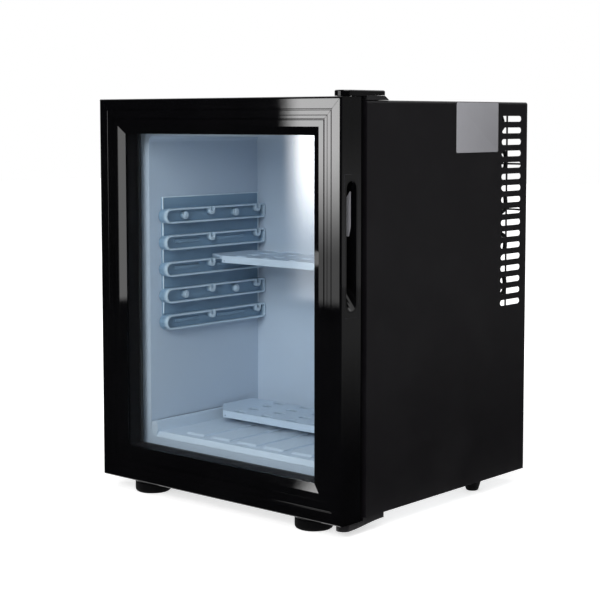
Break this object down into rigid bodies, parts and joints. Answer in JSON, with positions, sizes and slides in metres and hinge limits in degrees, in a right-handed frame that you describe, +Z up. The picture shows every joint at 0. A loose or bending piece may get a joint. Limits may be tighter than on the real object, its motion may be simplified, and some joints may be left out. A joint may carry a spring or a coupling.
{
  "type": "minibar fridge",
  "caption": "Free-standing absorption minibar fridge with a glazed hinged door, sheet cabinet with side vents, ribbed shelf rails, sliding lattice shelves and levelling feet.",
  "frame": {"origin": "middle of the footprint on the floor, under the centre of cabinet and door together", "axes": "+Z up, the door faces -Y, +X is the hinge side, on the right seen from the front"},
  "size_m": [0.4, 0.375, 0.5077],
  "materials": {
    "cabinet_paint": "satin black paint",
    "zinc_sheet": "galvanised sheet",
    "foam": "rigid foam",
    "liner_plastic": "satin formed sheet",
    "rail_plastic": "satin moulding",
    "shelf_plastic": "satin moulding",
    "hinge_plastic": "satin black",
    "cover_plastic": "gloss black",
    "hinge_steel": "turned steel",
    "foot_rubber": "matt",
    "foot_plastic": "matt black",
    "pipe_paint": "matt black on steel tube",
    "fin_aluminium": "mill",
    "key_aluminium": "cast",
    "spacer_plastic": "black spacer bar",
    "door_gloss": "gloss black extrusion",
    "recess_plastic": "satin black",
    "gasket_rubber": "soft magnetic gasket",
    "door_glass": "clear float glass"
  },
  "bodies": {
    "cabinet": {"outer_shell": "cabinet_paint", "base_plate": "zinc_sheet", "foam_insulation": "foam", "inner_liner": "liner_plastic", "rear_panel": "zinc_sheet", "floor_tray": "liner_plastic", "rail_left": "rail_plastic", "rail_right": "rail_plastic", "top_hinge_pad": "hinge_plastic", "top_hinge_plate": "hinge_steel", "top_hinge_pin": "hinge_steel", "top_hinge_cover": "cover_plastic", "bottom_hinge_bracket": "hinge_plastic", "bottom_hinge_pin": "hinge_steel", "rear_foot_left": "foot_rubber", "rear_foot_right": "foot_rubber", "boiler_tube": "pipe_paint", "boiler_jacket": "zinc_sheet", "heater_cartridge": "hinge_steel", "rectifier_pipe": "pipe_paint", "condenser": "fin_aluminium", "condensate_pipe": "pipe_paint", "evaporator_coil": "pipe_paint", "evaporator_plate": "fin_aluminium", "gas_pipe": "pipe_paint", "liquid_pipe": "pipe_paint", "return_pipe": "pipe_paint", "absorber_coil": "pipe_paint", "absorber_vessel": "pipe_paint", "pipe_bracket_left": "zinc_sheet", "pipe_bracket_right": "zinc_sheet", "control_box": "hinge_plastic", "mains_inlet": "hinge_plastic", "foot_bracket_left": "hinge_plastic", "foot_bracket_right": "hinge_plastic"},
    "door": {"door_frame_top": "door_gloss", "door_frame_bottom": "door_gloss", "door_frame_left": "door_gloss", "door_frame_right": "door_gloss", "corner_key_left_top": "key_aluminium", "corner_key_left_bottom": "key_aluminium", "corner_key_right_top": "key_aluminium", "corner_key_right_bottom": "key_aluminium", "hinge_bush_top": "hinge_plastic", "hinge_bush_bottom": "hinge_plastic", "finger_recess_left": "recess_plastic", "finger_recess_right": "recess_plastic", "glass_spacer": "spacer_plastic", "inner_door_frame": "recess_plastic", "door_gasket": "gasket_rubber", "outer_glass": "door_glass", "inner_glass": "door_glass"},
    "upper_shelf": {"upper_shelf": "shelf_plastic"},
    "lower_shelf": {"lower_shelf": "shelf_plastic"},
    "front_foot_left": {"front_foot_left": "foot_plastic"},
    "front_foot_right": {"front_foot_right": "foot_plastic"}
  },
  "joints": [
    {"name": "door_hinge", "type": "hinge", "parent": "cabinet", "child": "door", "pos_m": [0.1885, -0.1685, 0.0165], "axis": [0, 0, 1], "range_deg": [0, 120]},
    {"name": "upper_shelf_slide", "type": "slide", "parent": "cabinet", "child": "upper_shelf", "axis": [0, -1, 0], "range_m": [0, 0.09]},
    {"name": "lower_shelf_slide", "type": "slide", "parent": "cabinet", "child": "lower_shelf", "axis": [0, -1, 0], "range_m": [0, 0.09]},
    {"name": "left_foot_screw", "type": "slide", "parent": "cabinet", "child": "front_foot_left", "axis": [0, 0, -1], "range_m": [0, 0.006]},
    {"name": "right_foot_screw", "type": "slide", "parent": "cabinet", "child": "front_foot_right", "axis": [0, 0, -1], "range_m": [0, 0.006]}
  ]
}
